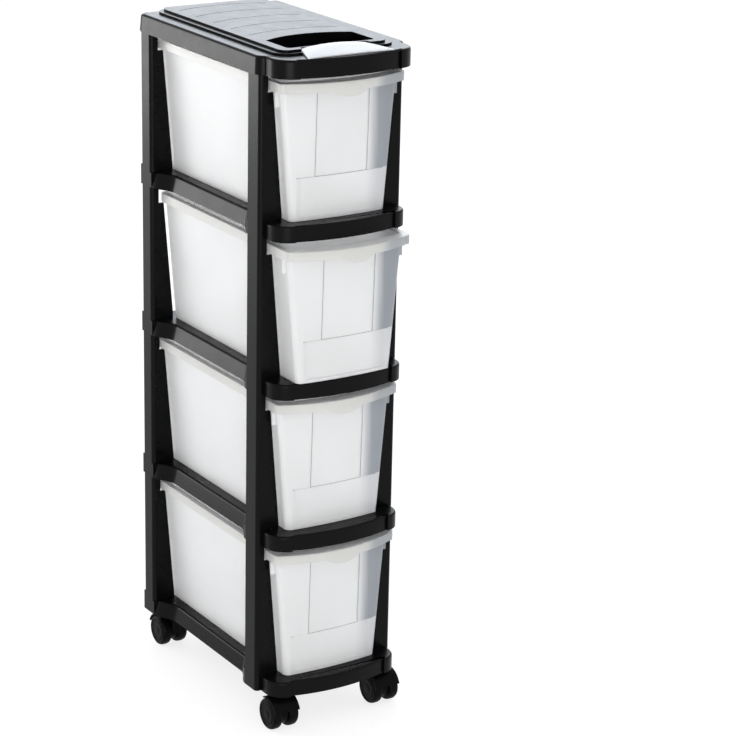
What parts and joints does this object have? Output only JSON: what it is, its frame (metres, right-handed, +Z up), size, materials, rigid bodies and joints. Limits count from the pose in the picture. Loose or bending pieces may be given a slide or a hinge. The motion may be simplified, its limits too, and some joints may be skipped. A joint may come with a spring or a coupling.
{
  "type": "drawer tower",
  "caption": "Slim open-frame storage tower with sliding frosted drawers, a moulded top with a finger tray and grip, on twin-wheel casters.",
  "frame": {"origin": "on the floor under the middle of the whole tower, second drawer standing 20 mm open", "axes": "+Z up, drawers open towards -Y, +X to the right of someone facing the drawers"},
  "size_m": [0.2, 0.358, 0.845],
  "materials": {
    "black_plastic": "satin-gloss black injection moulding",
    "frosted_plastic": "frosted translucent polypropylene",
    "silver_plastic": "smooth light silver-grey moulding",
    "caster_plastic": "black nylon moulding",
    "wheel_plastic": "black moulded twin wheel",
    "steel": "zinc-plated steel pin"
  },
  "bodies": {
    "root": {"base_frame": "black_plastic", "shelf_frame_1": "black_plastic", "shelf_frame_2": "black_plastic", "shelf_frame_3": "black_plastic", "top_cover": "black_plastic", "grip": "silver_plastic", "post_1_front_left": "black_plastic", "post_1_front_right": "black_plastic", "post_1_rear_left": "black_plastic", "post_1_rear_right": "black_plastic", "post_2_front_left": "black_plastic", "post_2_front_right": "black_plastic", "post_2_rear_left": "black_plastic", "post_2_rear_right": "black_plastic", "post_3_front_left": "black_plastic", "post_3_front_right": "black_plastic", "post_3_rear_left": "black_plastic", "post_3_rear_right": "black_plastic", "post_4_front_left": "black_plastic", "post_4_front_right": "black_plastic", "post_4_rear_left": "black_plastic", "post_4_rear_right": "black_plastic", "stem_front_left": "steel", "stem_front_right": "steel", "stem_rear_left": "steel", "stem_rear_right": "steel"},
    "drawer_1_body": {"drawer_1": "frosted_plastic"},
    "drawer_2_body": {"drawer_2": "frosted_plastic"},
    "drawer_3_body": {"drawer_3": "frosted_plastic"},
    "drawer_4_body": {"drawer_4": "frosted_plastic"},
    "swivel_front_left": {"housing_front_left": "caster_plastic", "axle_front_left": "steel"},
    "spin_front_left_a": {"wheel_front_left_a": "wheel_plastic"},
    "spin_front_left_b": {"wheel_front_left_b": "wheel_plastic"},
    "swivel_front_right": {"housing_front_right": "caster_plastic", "axle_front_right": "steel"},
    "spin_front_right_a": {"wheel_front_right_a": "wheel_plastic"},
    "spin_front_right_b": {"wheel_front_right_b": "wheel_plastic"},
    "swivel_rear_left": {"housing_rear_left": "caster_plastic", "axle_rear_left": "steel"},
    "spin_rear_left_a": {"wheel_rear_left_a": "wheel_plastic"},
    "spin_rear_left_b": {"wheel_rear_left_b": "wheel_plastic"},
    "swivel_rear_right": {"housing_rear_right": "caster_plastic", "axle_rear_right": "steel"},
    "spin_rear_right_a": {"wheel_rear_right_a": "wheel_plastic"},
    "spin_rear_right_b": {"wheel_rear_right_b": "wheel_plastic"}
  },
  "joints": [
    {"name": "drawer_1_slide", "type": "slide", "parent": "root", "child": "drawer_1_body", "axis": [0, -1, 0], "range_m": [0, 0.2]},
    {"name": "drawer_2_slide", "type": "slide", "parent": "root", "child": "drawer_2_body", "axis": [0, -1, 0], "range_m": [-0.02, 0.18]},
    {"name": "drawer_3_slide", "type": "slide", "parent": "root", "child": "drawer_3_body", "axis": [0, -1, 0], "range_m": [0, 0.2]},
    {"name": "drawer_4_slide", "type": "slide", "parent": "root", "child": "drawer_4_body", "axis": [0, -1, 0], "range_m": [0, 0.2]},
    {"name": "swivel_front_left_turn", "type": "hinge", "parent": "root", "child": "swivel_front_left", "pos_m": [-0.073, -0.1175, 0.037], "axis": [0, 0, 1], "continuous": true},
    {"name": "spin_front_left_a_roll", "type": "hinge", "parent": "swivel_front_left", "child": "spin_front_left_a", "pos_m": [-0.0846, -0.1315, 0.02], "axis": [1, 0, 0], "continuous": true},
    {"name": "spin_front_left_b_roll", "type": "hinge", "parent": "swivel_front_left", "child": "spin_front_left_b", "pos_m": [-0.0614, -0.1315, 0.02], "axis": [1, 0, 0], "continuous": true},
    {"name": "swivel_front_right_turn", "type": "hinge", "parent": "root", "child": "swivel_front_right", "pos_m": [0.073, -0.1175, 0.037], "axis": [0, 0, 1], "continuous": true},
    {"name": "spin_front_right_a_roll", "type": "hinge", "parent": "swivel_front_right", "child": "spin_front_right_a", "pos_m": [0.0614, -0.1315, 0.02], "axis": [1, 0, 0], "continuous": true},
    {"name": "spin_front_right_b_roll", "type": "hinge", "parent": "swivel_front_right", "child": "spin_front_right_b", "pos_m": [0.0846, -0.1315, 0.02], "axis": [1, 0, 0], "continuous": true},
    {"name": "swivel_rear_left_turn", "type": "hinge", "parent": "root", "child": "swivel_rear_left", "pos_m": [-0.073, 0.1405, 0.037], "axis": [0, 0, 1], "continuous": true},
    {"name": "spin_rear_left_a_roll", "type": "hinge", "parent": "swivel_rear_left", "child": "spin_rear_left_a", "pos_m": [-0.0846, 0.1545, 0.02], "axis": [1, 0, 0], "continuous": true},
    {"name": "spin_rear_left_b_roll", "type": "hinge", "parent": "swivel_rear_left", "child": "spin_rear_left_b", "pos_m": [-0.0614, 0.1545, 0.02], "axis": [1, 0, 0], "continuous": true},
    {"name": "swivel_rear_right_turn", "type": "hinge", "parent": "root", "child": "swivel_rear_right", "pos_m": [0.073, 0.1405, 0.037], "axis": [0, 0, 1], "continuous": true},
    {"name": "spin_rear_right_a_roll", "type": "hinge", "parent": "swivel_rear_right", "child": "spin_rear_right_a", "pos_m": [0.0614, 0.1545, 0.02], "axis": [1, 0, 0], "continuous": true},
    {"name": "spin_rear_right_b_roll", "type": "hinge", "parent": "swivel_rear_right", "child": "spin_rear_right_b", "pos_m": [0.0846, 0.1545, 0.02], "axis": [1, 0, 0], "continuous": true}
  ]
}
